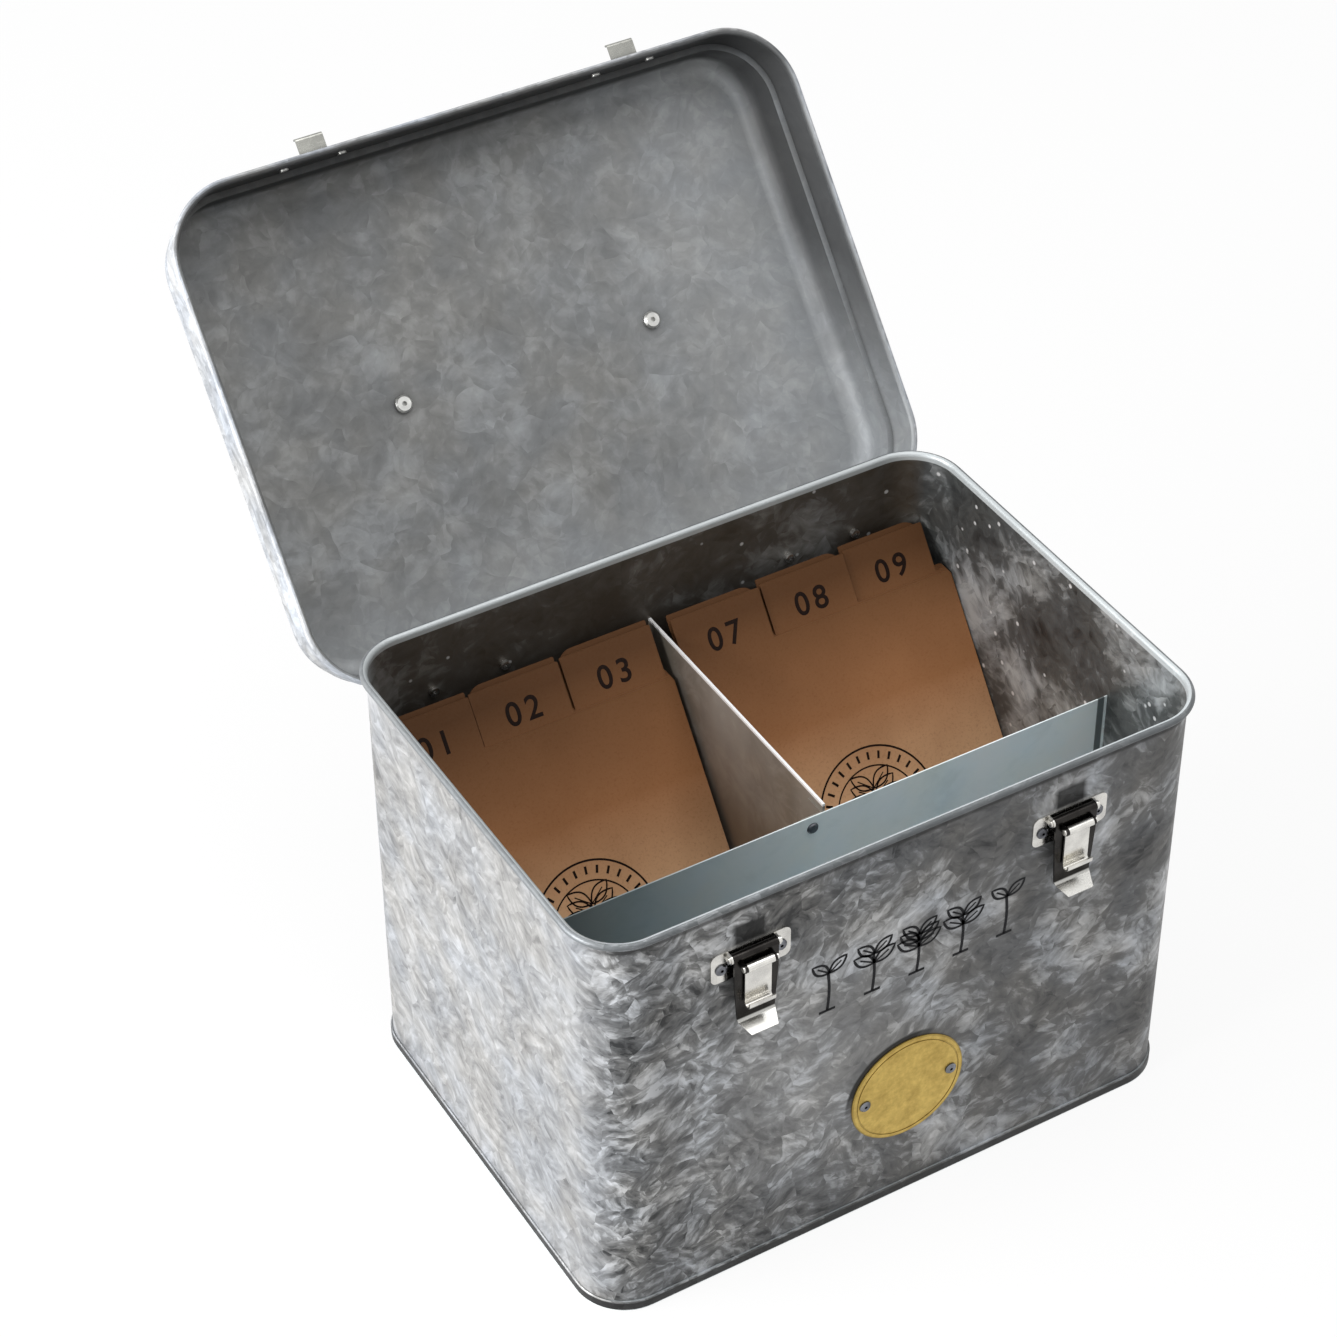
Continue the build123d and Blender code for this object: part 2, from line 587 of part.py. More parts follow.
# Cards
def card_outline(side, number):
    """Card `number` of one compartment, counted from the front: its tab steps along from left to right."""
    inner = SHEET / 2 + CARD_INNER_GAP
    outer = WIDTH / 2 - SHEET - CARD_OUTER_GAP
    step = (number - 1) % TAB_COUNT
    if side < 0:
        step = TAB_COUNT - 1 - step
    room_from = inner + TAB_START + step * TAB_PITCH
    tab_from = room_from + (0, TAB_SLIT, OUTER_TAB_SLIT)[step]
    tab_to = min(room_from + TAB_PITCH, outer - TAB_INSET)
    width, tab = outer - inner, tab_to - tab_from
    corner = TAB_CORNER if number <= TAB_COUNT else REAR_TAB_CORNER
    panel = Pos(inner + width / 2, CARD_SHOULDER / 2) * Rectangle(width, CARD_SHOULDER)
    panel = fillet(panel.vertices().group_by(Axis.Y)[-1], CARD_CORNER)
    label = Pos(tab_from + tab / 2, CARD_HEIGHT / 2) * Rectangle(tab, CARD_HEIGHT)
    label = fillet(label.vertices().group_by(Axis.Y)[-1].sort_by(Axis.X)[-1], corner)
    label = fillet(label.vertices().group_by(Axis.Y)[-1].sort_by(Axis.X)[0], TAB_CORNER)
    outline = panel + label
    return outline if side > 0 else outline.mirror(Plane.YZ)


def card(side, number):
    """A card on its foot behind the partition, leaning back; the rear lower edge of the first is the pivot."""
    lean = radians(CARD_LEAN)
    foot_y = PARTITION_FACE + 2 * SHEET + SOFT_GAP + CARD_THICKNESS + (number - 1) * CARD_PITCH / cos(lean)
    plane = Plane(
        origin=(0, foot_y, SHEET + SOFT_GAP), x_dir=(1, 0, 0), z_dir=(0, -cos(lean), sin(lean))
    )
    return extrude(plane * card_outline(side, number), CARD_THICKNESS)


def build():
    """Every piece by the name of its node."""
    pieces = {
        "body_shell": [body_shell()],
        "rim_wire": [rim_wire()],
        "base_pan": [base_pan()],
        "front_partition": [front_partition()],
        "centre_divider": [centre_divider()],
        "divider_clips": [divider_clip(seat) for seat in divider_seats()],
        "divider_rivets": [rivet(seat, 2 * SHEET, tail=0.8 * RIVET_TAIL) for seat in divider_seats()],
        "name_plate": [name_plate()],
        "name_plate_rivets": [
            rivet(seat, PLATE_GAUGE + SHEET, bore=POP_BORE_RADIUS) for seat in plate_seats()
        ],
        "lid_shell": [opened(lid_shell())],
        "handle_rivets": [opened(solid) for solid in handle_rivets()],
        "handle_bail": [hung(handle_bail())],
    }
    for name, side in SIDES.items():
        hinge, latch = side * HINGE_SPACING / 2, side * LATCH_SPACING / 2
        pieces[f"hinge_body_leaf_{name}"] = [body_leaf(hinge)]
        pieces[f"hinge_pin_{name}"] = [hinge_pin(hinge)]
        pieces[f"hinge_lid_leaf_{name}"] = [opened(lid_leaf(hinge))]
        pieces[f"hinge_body_rivets_{name}"] = [
            rivet(seat, LEAF + SHEET, POP_TAIL, POP_BORE_RADIUS) for seat in body_hinge_seats(hinge)
        ]
        pieces[f"hinge_lid_rivets_{name}"] = [
            opened(rivet(seat, LEAF + SHEET)) for seat in lid_hinge_seats(hinge)
        ]
        pieces[f"latch_base_{name}"] = [latch_base(latch)]
        pieces[f"latch_rivets_{name}"] = [
            rivet(seat, LATCH_GAUGE + SHEET, bore=POP_BORE_RADIUS) for seat in latch_seats(latch)
        ]
        pieces[f"lever_pin_{name}"] = [lever_pin(latch)]
        pieces[f"latch_lever_{name}"] = [latch_lever(latch)]
        pieces[f"claw_pin_{name}"] = [claw_pin(latch)]
        pieces[f"latch_claw_{name}"] = [latch_claw(latch)]
        pieces[f"keeper_{name}"] = [opened(keeper(latch))]
        pieces[f"keeper_rivets_{name}"] = [
            opened(rivet(seat, LATCH_GAUGE + SHEET, tail=0.8 * RIVET_TAIL)) for seat in keeper_seats(latch)
        ]
        pieces[f"handle_clip_{name}"] = [opened(handle_clip(side))]
        first = 0 if side < 0 else CARDS_EACH_SIDE
        for number in range(1, CARDS_EACH_SIDE + 1):
            pieces[f"month_card_{first + number:02d}"] = [card(side, number)]
    return pieces


if __name__ == "__main__":
    os.makedirs("parts", exist_ok=True)
    for node, solids in build().items():
        export_step(Compound(children=solids), f"parts/{node}.step")
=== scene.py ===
"""Looks of the galvanised seed box with its month cards, round brass plate and claw latches.

Metres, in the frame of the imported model: +X right along the front, the front faces -Y, +Z up.
"""

from math import cos, pi, radians, sin

import bmesh
import bpy
from mathutils import Matrix, Vector


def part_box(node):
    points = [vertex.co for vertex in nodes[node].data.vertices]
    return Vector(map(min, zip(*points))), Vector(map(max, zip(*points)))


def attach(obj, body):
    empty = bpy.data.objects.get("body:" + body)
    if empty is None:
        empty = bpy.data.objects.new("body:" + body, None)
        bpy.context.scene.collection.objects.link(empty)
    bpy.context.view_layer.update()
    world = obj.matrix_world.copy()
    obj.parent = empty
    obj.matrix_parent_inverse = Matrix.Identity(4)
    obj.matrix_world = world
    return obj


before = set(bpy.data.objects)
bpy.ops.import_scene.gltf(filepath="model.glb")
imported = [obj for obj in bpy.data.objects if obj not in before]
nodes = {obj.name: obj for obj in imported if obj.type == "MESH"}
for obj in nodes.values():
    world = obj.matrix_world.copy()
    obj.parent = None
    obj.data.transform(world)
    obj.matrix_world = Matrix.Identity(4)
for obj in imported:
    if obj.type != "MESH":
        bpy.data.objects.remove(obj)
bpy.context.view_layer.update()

# ---------------------------------------------------------------------------------------------
# Body shell. One wall sheet of hot-dip galvanised steel is bent round four corners, lapped at the
# back right and rolled over a wire at the top. Its outside has been aged to dark brush-like crystals,
# and the inside is browner and duller, with small bright painted glints.

SIDES = ("left", "right")
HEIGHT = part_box("body_shell")[1].z
PLATE_LOW, PLATE_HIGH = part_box("name_plate")
PLATE_CENTRE = (PLATE_LOW + PLATE_HIGH) / 2
PLATE_RADIUS = (PLATE_HIGH.x - PLATE_LOW.x) / 2
FRONT_FACE = PLATE_HIGH.y
SKIN_BEHIND_FRONT = (FRONT_FACE + 0.0004, FRONT_FACE + 0.0012)
WALL_BEHIND_FRONT = (FRONT_FACE + 0.002, FRONT_FACE + 0.01)
SEAM_TOP = 0.0042
BEAD_FOOT = HEIGHT - 0.0033
UNDER_BEAD = 0.0032
SIDE_TO_FRONT = (-0.1424, -0.132)
FLAKES_SOFTEN = (-0.1, 0.03)
FRONT_LIGHT_TO_SHADE = (-0.1, 0.02)
CORNER_DARK_REFLECTION = (-0.117, -0.11)
FOOT_SHADE = (0.004, 0.045)
BACK_WALL = (0.094, 0.099)
BLOOM_CENTRE = (-0.05, FRONT_FACE, 0.1)
BLOOM_REACH = (0.02, 0.085)
LATCH_SHADE_ACROSS = (0.069, 0.081)
LATCH_SHADE_HEIGHTS = (0.186, 0.1945)
PLATE_SHADOW_WIDTH = 0.0044
UP_LEFT = (-0.55, 0.0, 0.83)
AGED_CRYSTAL = 0.0125
AGED_FLAKE = 0.0023
FLAKE_LEAN = 1.1
FLAKE_STRETCH = 0.42
GLINTS_PER_METRE = 105.0


def add_node(tree, kind, inputs=(), **settings):
    """One shader node. An input given as a socket is linked, and any other value is set."""
    made = tree.nodes.new("ShaderNode" + kind)
    for name, value in settings.items():
        setattr(made, name, value)
    for key, value in dict(inputs).items():
        if isinstance(value, bpy.types.NodeSocket):
            tree.links.new(value, made.inputs[key])
        else:
            made.inputs[key].default_value = value
    return made


def maths(tree, operation, a, b=0.0, clamp=False):
    return add_node(tree, "Math", {0: a, 1: b}, operation=operation, use_clamp=clamp).outputs[0]


def times(tree, first, *others):
    """The product of several masks or values."""
    product = first
    for other in others:
        product = maths(tree, "MULTIPLY", product, other)
    return product


def along(tree, operation, a, b):
    """A vector sum, difference or product of two vectors."""
    return add_node(tree, "VectorMath", {0: a, 1: b}, operation=operation).outputs[0]


def blend_colours(tree, share, a, b, mode="MIX"):
    made = add_node(tree, "Mix", {0: share, 6: a, 7: b}, data_type="RGBA", blend_type=mode)
    return made.outputs[2]


def spread(tree, value, low, high, to_low=0.0, to_high=1.0):
    """The value carried from low..high to to_low..to_high, and held at the ends."""
    inputs = {"Value": value, "From Min": low, "From Max": high, "To Min": to_low, "To Max": to_high}
    return add_node(tree, "MapRange", inputs).outputs["Result"]


def fade(tree, value, low, high):
    """1 up to the low value, then falling to 0 at the high one."""
    return spread(tree, value, low, high, 1.0, 0.0)


def noise(tree, place, scale, detail=2.0, roughness=0.5):
    inputs = {"Vector": place, "Scale": scale, "Detail": detail, "Roughness": roughness}
    return add_node(tree, "TexNoise", inputs)


def tint(red, green, blue):
    """A colour for a shader, from its red, green and blue as a screen shows them, 0 to 255."""
    shown = [channel / 255 for channel in (red, green, blue)]
    linear = [c / 12.92 if c <= 0.04045 else ((c + 0.055) / 1.055) ** 2.4 for c in shown]
    return (*linear, 1.0)


def grey(level):
    return tint(level, level, level)


def new_group(name, inputs, outputs):
    """An empty node group: its tree, the sockets of its inputs and those of its outputs."""
    tree = bpy.data.node_groups.new(name, "ShaderNodeTree")
    kinds = {float: "NodeSocketFloat", tuple: "NodeSocketColor", Vector: "NodeSocketVector"}
    for label, value in inputs.items():
        socket = tree.interface.new_socket(label, in_out="INPUT", socket_type=kinds[type(value)])
        socket.default_value = value
    for label, kind in outputs.items():
        tree.interface.new_socket(label, in_out="OUTPUT", socket_type=kinds[kind])
    return tree, tree.nodes.new("NodeGroupInput").outputs, tree.nodes.new("NodeGroupOutput").inputs


def use_group(tree, group, **values):
    """The outputs of a node group placed in a material, with its own values."""
    made = tree.nodes.new("ShaderNodeGroup")
    made.node_tree = group
    for key, value in values.items():
        socket = made.inputs[key.replace("_", " ").capitalize()]
        if isinstance(value, bpy.types.NodeSocket):
            tree.links.new(value, socket)
        else:
            socket.default_value = value
    return made.outputs


def spangle_group():
    """Zinc crystals. Each holds short flakes that lie one way in the sheet, under soft clouds."""
    tree, given, result = new_group(
        "zinc_spangle",
        {
            "Crystal": 0.011,
            "Flake": 0.0017,
            "Flakes": 0.6,
            "Clouds": 0.5,
            "Dark": grey(70),
            "Middle": grey(130),
            "Light": grey(200),
            "Tints": 0.5,
        },
        {"Colour": tuple, "Tone": float},
    )
    coordinates = add_node(tree, "TexCoord").outputs
    place = coordinates["Object"]

    def wander(scale, reach):
        offset = along(tree, "SUBTRACT", noise(tree, place, scale).outputs["Color"], (0.5, 0.5, 0.5))
        return along(tree, "MULTIPLY", offset, (reach, reach, reach))

    def swing(value, amount):
        return maths(tree, "MULTIPLY", maths(tree, "SUBTRACT", value, 0.5), amount)

    warped = along(tree, "ADD", place, wander(60.0, 0.008))
    crystals_per_metre = maths(tree, "DIVIDE", 1.0, given["Crystal"])
    crystals = add_node(tree, "TexVoronoi", {"Vector": warped, "Scale": crystals_per_metre}).outputs
    draw = add_node(tree, "SeparateColor", {"Color": crystals["Color"]}).outputs
    turned = add_node(
        tree,
        "VectorRotate",
        {
            "Vector": along(tree, "SUBTRACT", warped, crystals["Position"]),
            "Axis": coordinates["Normal"],
            "Angle": spread(tree, draw["Red"], 0.0, 1.0, pi / 2 - FLAKE_LEAN, pi / 2 + FLAKE_LEAN),
        },
        rotation_type="AXIS_ANGLE",
    ).outputs[0]
    lengthways = along(tree, "MULTIPLY", turned, (1.0, 1.0, FLAKE_STRETCH))
    ragged = along(tree, "ADD", lengthways, wander(420.0, 0.0013))
    shifted = along(tree, "ADD", ragged, crystals["Color"])
    flakes_per_metre = maths(tree, "DIVIDE", 1.0, given["Flake"])
    flakes = add_node(tree, "TexVoronoi", {"Vector": shifted, "Scale": flakes_per_metre}).outputs
    flake = add_node(tree, "SeparateColor", {"Color": flakes["Color"]}).outputs["Green"]
    strokes = noise(tree, shifted, maths(tree, "DIVIDE", 0.5, given["Flake"]), 3.0, 0.55).outputs["Fac"]
    hairs = noise(tree, along(tree, "MULTIPLY", lengthways, (1.0, 1.0, 0.5)), 1900.0).outputs["Fac"]
    clouds = noise(tree, place, 26.0, 3.0, 0.58).outputs["Fac"]
    tone = 0.5
    for value, weight in (
        (flake, 0.36), (spread(tree, strokes, 0.31, 0.69), 1.0), (hairs, 0.18), (draw["Blue"], 0.25),
    ):
        amount = maths(tree, "MULTIPLY", given["Flakes"], weight)
        tone = maths(tree, "ADD", swing(value, amount), tone)
    amount = maths(tree, "MULTIPLY", given["Clouds"], 2.4)
    tone = maths(tree, "ADD", swing(clouds, amount), tone, clamp=True)
    lower = blend_colours(tree, spread(tree, tone, 0.0, 0.5), given["Dark"], given["Middle"])
    colour = blend_colours(tree, spread(tree, tone, 0.5, 1.0), lower, given["Light"])
    warmth = spread(tree, noise(tree, place, 38.0).outputs["Fac"], 0.35, 0.65)
    cast = blend_colours(tree, warmth, tint(236, 245, 255), tint(255, 246, 228))
    tree.links.new(blend_colours(tree, given["Tints"], colour, cast, "MULTIPLY"), result["Colour"])
    tree.links.new(tone, result["Tone"])
    return tree


def outer_side_group():
    """1 on faces that look away from a centre line or point, and 0 on those that look back at it."""
    tree, given, result = new_group(
        "outer_side", {"Centre": Vector((0, 0, 0)), "Spread": Vector((1, 1, 1))}, {"Mask": float}
    )
    coordinates = add_node(tree, "TexCoord").outputs
    from_centre = along(tree, "SUBTRACT", coordinates["Object"], given["Centre"])
    away = along(tree, "MULTIPLY", from_centre, given["Spread"])
    facing = add_node(tree, "VectorMath", {0: away, 1: coordinates["Normal"]}, operation="DOT_PRODUCT")
    tree.links.new(spread(tree, facing.outputs["Value"], -0.0005, 0.0005), result["Mask"])
    return tree


def crease_group():
    """Dust and painted shade that gather in folds and round rivets within a given reach."""
    tree, given, result = new_group("crease_dust_and_shade", {"Reach": 0.003}, {"Mask": float})
    hollow = add_node(tree, "AmbientOcclusion", {"Distance": given["Reach"]}, samples=4)
    tree.links.new(fade(tree, hollow.outputs["AO"], 0.35, 0.9), result["Mask"])
    return tree


SPANGLE = spangle_group()
OUTER_SIDE = outer_side_group()
CREASES = crease_group()


def new_material(name, metallic, specular=0.5):
    """A material with its Principled shader: the node tree and the shader."""
    material = bpy.data.materials.new(name)
    material.use_nodes = True
    tree = material.node_tree
    shader = tree.nodes["Principled BSDF"]
    shader.inputs["Metallic"].default_value = metallic
    shader.inputs["Specular IOR Level"].default_value = specular
    return material, tree, shader


def coat(tree, shader, colour, roughness, height, depth, strength):
    """Colour, roughness and fine bumps of that depth, in metres, linked to the shader."""
    tree.links.new(colour, shader.inputs["Base Color"])
    tree.links.new(roughness, shader.inputs["Roughness"])
    bump = add_node(tree, "Bump", {"Height": height, "Distance": depth, "Strength": strength})
    tree.links.new(bump.outputs["Normal"], shader.inputs["Normal"])


def at_rest(tree):
    """The point on the piece, as it stands at rest."""
    return add_node(tree, "TexCoord").outputs["Object"]


def where(tree):
    """X, Y and Z of that point."""
    return add_node(tree, "SeparateXYZ", {0: at_rest(tree)}).outputs


def band(tree, value, low, high, soft):
    """1 between two values, falling off softly on both sides."""
    rising = spread(tree, value, low - soft, low)
    return maths(tree, "MULTIPLY", rising, fade(tree, value, high, high + soft))


def wash(tree, colour, mask, amount, to):
    """The colour carried part of the way to another one where the mask is 1."""
    return blend_colours(tree, maths(tree, "MULTIPLY", mask, amount), colour, to)


def body_zinc():
    """The aged outside, the browner inside, and the painted light, shade, glints and marks on them."""
    material, tree, shader = new_material("body_zinc", 0.3)
    place = at_rest(tree)
    spot = where(tree)
    outer = use_group(tree, OUTER_SIDE, spread=(1, 1, 0))["Mask"]
    on_front = spread(tree, spot["X"], *SIDE_TO_FRONT)

    # The outside is painted palest on the left side as painted light, and its flakes are softer towards the
    # right of the front.
    front_flakes = spread(tree, spot["X"], *FLAKES_SOFTEN, 0.8, 0.36)
    # The front is painted lighter by the left corner and darker towards its middle, as painted light and
    # shade.
    front_lit_and_shaded = blend_colours(
        tree, spread(tree, spot["X"], *FRONT_LIGHT_TO_SHADE), tint(132, 133, 134), tint(118, 118, 118)
    )
    outside = use_group(
        tree, SPANGLE, crystal=AGED_CRYSTAL, flake=AGED_FLAKE,
        flakes=times(tree, front_flakes, spread(tree, on_front, 0.0, 1.0, 0.42, 1.0)),
        clouds=spread(tree, on_front, 0.0, 1.0, 0.2, 0.6),
        dark=tint(50, 51, 53),
        middle=blend_colours(tree, on_front, tint(162, 163, 165), front_lit_and_shaded),
        light=tint(226, 228, 232), tints=0.3,
    )

    # The inside has small bright painted glints, a brown back wall and a paler front wall.
    inside = use_group(
        tree, SPANGLE, crystal=0.011, flake=0.0026, flakes=0.34, clouds=0.8,
        dark=tint(30, 31, 31), middle=tint(76, 78, 78), light=tint(166, 169, 170), tints=0.2,
    )
    glint_cells = add_node(tree, "TexVoronoi", {"Vector": place, "Scale": GLINTS_PER_METRE}).outputs
    chosen = add_node(tree, "SeparateColor", {"Color": glint_cells["Color"]}).outputs["Red"]
    painted_glints = times(tree, fade(tree, glint_cells["Distance"], 0.08, 0.13), spread(tree, chosen, 0.7, 0.72))
    inner_colour = wash(tree, inside["Colour"], spread(tree, spot["Y"], *BACK_WALL), 0.4, tint(92, 78, 62))
    inner_colour = wash(tree, inner_colour, painted_glints, 0.7, grey(225))
    front_wall = fade(tree, spot["Y"], *WALL_BEHIND_FRONT)
    inner_colour = wash(tree, inner_colour, front_wall, 0.85, tint(214, 224, 228))
    colour = blend_colours(tree, outer, inner_colour, outside["Colour"])

    # The front has painted shade towards the foot and a painted dark reflection beside the corner, with one
    # paler patch.
    foot = times(tree, fade(tree, spot["Z"], *FOOT_SHADE), outer, on_front)
    colour = wash(tree, colour, foot, 0.3, grey(60))
    dark_reflection_stripe = times(tree, band(tree, spot["X"], *CORNER_DARK_REFLECTION, 0.007), on_front, outer)
    colour = wash(tree, colour, dark_reflection_stripe, 0.25, grey(40))
    from_bloom = add_node(tree, "VectorMath", {0: place, 1: BLOOM_CENTRE}, operation="DISTANCE")
    bloom = times(tree, fade(tree, from_bloom.outputs["Value"], *BLOOM_REACH), outer)
    colour = wash(tree, colour, bloom, 0.22, grey(236))

    # Painted shade above the latches, and a painted shadow along the upper left of the plate.
    skin = fade(tree, spot["Y"], *SKIN_BEHIND_FRONT)
    from_middle = maths(tree, "ABSOLUTE", spot["X"])
    latch_shade = times(
        tree, band(tree, from_middle, *LATCH_SHADE_ACROSS, 0.0025),
        band(tree, spot["Z"], *LATCH_SHADE_HEIGHTS, 0.0025), skin, outer,
    )
    colour = wash(tree, colour, latch_shade, 0.92, grey(12))
    from_plate = along(tree, "MULTIPLY", along(tree, "SUBTRACT", place, PLATE_CENTRE), (1, 0, 1))
    distance = add_node(tree, "VectorMath", {0: from_plate}, operation="LENGTH").outputs["Value"]
    up_left = add_node(tree, "VectorMath", {0: from_plate, 1: UP_LEFT}, operation="DOT_PRODUCT")
    # Painted shadow in a crescent beyond the plate's upper left edge.
    plate_shadow = times(
        tree, band(tree, distance, PLATE_RADIUS - 0.002, PLATE_RADIUS + PLATE_SHADOW_WIDTH * 0.55, PLATE_SHADOW_WIDTH * 0.25),
        spread(tree, up_left.outputs["Value"], PLATE_RADIUS * 0.4, PLATE_RADIUS * 0.8), skin, outer,
    )
    colour = wash(tree, colour, plate_shadow, 0.98, grey(4))

    # The folded seam at the foot, the painted shade under the bead, and the bead, painted pale on its inner
    # half as a painted highlight.
    seam = band(tree, spot["Z"], -0.001, SEAM_TOP, 0.0008)
    colour = wash(tree, colour, seam, 0.94, grey(14))
    under_bead = band(tree, spot["Z"], BEAD_FOOT - UNDER_BEAD, BEAD_FOOT, 0.0012)
    colour = wash(tree, colour, times(tree, under_bead, outer, on_front), 0.8, grey(30))
    bead = band(tree, spot["Z"], BEAD_FOOT, HEIGHT + 0.001, 0.0003)
    painted_sheen = blend_colours(tree, outer, tint(206, 212, 214), tint(108, 113, 116))
    colour = wash(tree, colour, bead, 0.75, painted_sheen)

    roughness = spread(tree, outside["Tone"], 0.0, 1.0, 0.52, 0.36)
    grain = noise(tree, place, 900.0, 3.0).outputs["Fac"]
    coat(tree, shader, colour, roughness, grain, 0.0001, 0.5)
    return material


def dress(node, material):
    """The CAD node shows this finish instead of its plain one."""
    nodes[node].data.materials.clear()
    nodes[node].data.materials.append(material)


dress("body_shell", body_zinc())

# ---------------------------------------------------------------------------------------------
# Printed row on the front. Five seedlings in dark ink stand in a row between the latches, each drawn
# with a stem and pairs of leaves. The ink lies straight on the zinc and is a little worn.

PRINT_PROUD = 0.00006
SEEDLING_HEIGHT = 0.024
SEEDLING_FOOT = 0.128
SEEDLING_ROW = (-0.0385, 0.0467)
SEEDLING_LEAVES = (1, 2, 3, 2, 1)
FRONT_LINE = 0.0014
STEM_TOP = 0.86
STEM_BEND = 0.03
PAIRS_REACH = 0.42
LEAF_LENGTH = 0.42
LEAF_GROWTH = 0.1
LEAF_WIDTH = 0.5
GROUND_HALF = 0.16


def ink(name, dark, faded):
    """Printing ink, paler and rougher in random worn patches."""
    material, tree, shader = new_material(name, 0.0, 0.1)
    worn = noise(tree, at_rest(tree), 1300.0, 3.0, 0.6).outputs["Fac"]
    colour = blend_colours(tree, spread(tree, worn, 0.5, 0.75), dark, faded)
    coat(tree, shader, colour, spread(tree, worn, 0.3, 0.7, 0.5, 0.7), worn, 0.00002, 0.4)
    return material


def stroke(points, width, closed=False):
    """The quads of a drawn line of that width through points of a plane."""
    count = len(points)
    edges = []
    for number, point in enumerate(points):
        before = points[number - 1] if closed or number else point
        after = points[(number + 1) % count] if closed or number < count - 1 else point
        run = (Vector(after) - Vector(before)).normalized()
        aside = Vector((-run.y, run.x)) * width / 2
        edges.append((Vector(point) + aside, Vector(point) - aside))
    pairs = list(zip(edges, edges[1:] + edges[:1]))
    return [(a[0], a[1], b[1], b[0]) for a, b in (pairs if closed else pairs[:-1])]


def leaf(root, angle, length, width, line):
    """A pointed leaf drawn as an outline with a short midrib."""
    tip = Vector((cos(angle), sin(angle)))
    aside = Vector((-tip.y, tip.x))
    steps = [number / 10 for number in range(11)]
    upper = [Vector(root) + tip * length * t + aside * width / 2 * sin(pi * t) ** 0.9 for t in steps]
    lower = [Vector(root) + tip * length * t - aside * width / 2 * sin(pi * t) ** 0.9 for t in steps[9:0:-1]]
    rib = [Vector(root) + tip * length * t for t in (0.0, 0.35, 0.7)]
    return stroke(upper + lower, line, closed=True) + stroke(rib, line * 0.7)


def seedling(height, pairs, line):
    """A stem with pairs of leaves that shorten towards its tip."""
    rises = (0.0, 0.2, 0.4, 0.6, 0.8, 1.0)
    stem = [(STEM_BEND * height * sin(pi * rise), height * STEM_TOP * rise) for rise in rises]
    shapes = stroke(stem, line)
    for number in range(pairs):
        share = number / max(pairs, 2)
        root = (0.02 * height, height * (STEM_TOP - PAIRS_REACH * share))
        length = height * (LEAF_LENGTH + LEAF_GROWTH * share)
        for angle in (radians(38 - 14 * share), radians(142 + 14 * share)):
            shapes += leaf(root, angle, length, length * LEAF_WIDTH, line * 0.85)
    return shapes + stroke([(-GROUND_HALF * height, 0.0), (GROUND_HALF * height, 0.0)], line)


def printed(name, shapes, material, origin, across, up, body):
    """Flat ink shapes laid on a surface, from their quads across and up it."""
    mesh = bmesh.new()
    for shape in shapes:
        mesh.faces.new([mesh.verts.new(Vector(origin) + across * x + up * y) for x, y in shape])
    bmesh.ops.remove_doubles(mesh, verts=mesh.verts, dist=0.000001)
    data = bpy.data.meshes.new(name)
    mesh.to_mesh(data)
    mesh.free()
    data.materials.append(material)
    print_on = bpy.data.objects.new(name, data)
    bpy.context.scene.collection.objects.link(print_on)
    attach(print_on, body)
    return print_on


FRONT_INK = ink("front_ink", tint(44, 44, 46), tint(70, 70, 72))
spacing = (SEEDLING_ROW[1] - SEEDLING_ROW[0]) / (len(SEEDLING_LEAVES) - 1)
for number, pairs in enumerate(SEEDLING_LEAVES):
    foot = (SEEDLING_ROW[0] + spacing * number, FRONT_FACE - PRINT_PROUD, SEEDLING_FOOT)
    printed(
        f"front_seedling_{number + 1}", seedling(SEEDLING_HEIGHT, pairs, FRONT_LINE), FRONT_INK,
        foot, Vector((1, 0, 0)), Vector((0, 0, 1)), "box",
    )

# ---------------------------------------------------------------------------------------------
# Rim wire, base pan, partition and divider. The wire is drawn steel, hidden in the rolled rim but
# for its ends. The base, the partition and the divider are cleaner zinc sheet with a bluish shine
# and long soft paler streaks as painted reflections, hemmed or clipped and riveted in place.

PARTITION_LOW, PARTITION_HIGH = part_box("front_partition")
PARTITION_SHADE = (PARTITION_LOW.x + 0.02, PARTITION_LOW.x + 0.14)
PARTITION_HIGHLIGHT = (0.078, 0.083)
PARTITION_GAP_SHADE = (PARTITION_HIGH.x - 0.0046, PARTITION_HIGH.x - 0.0016)
DIVIDER_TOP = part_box("centre_divider")[1].z
TOP_EDGE_HIGHLIGHT = (DIVIDER_TOP - 0.0014, DIVIDER_TOP - 0.001)


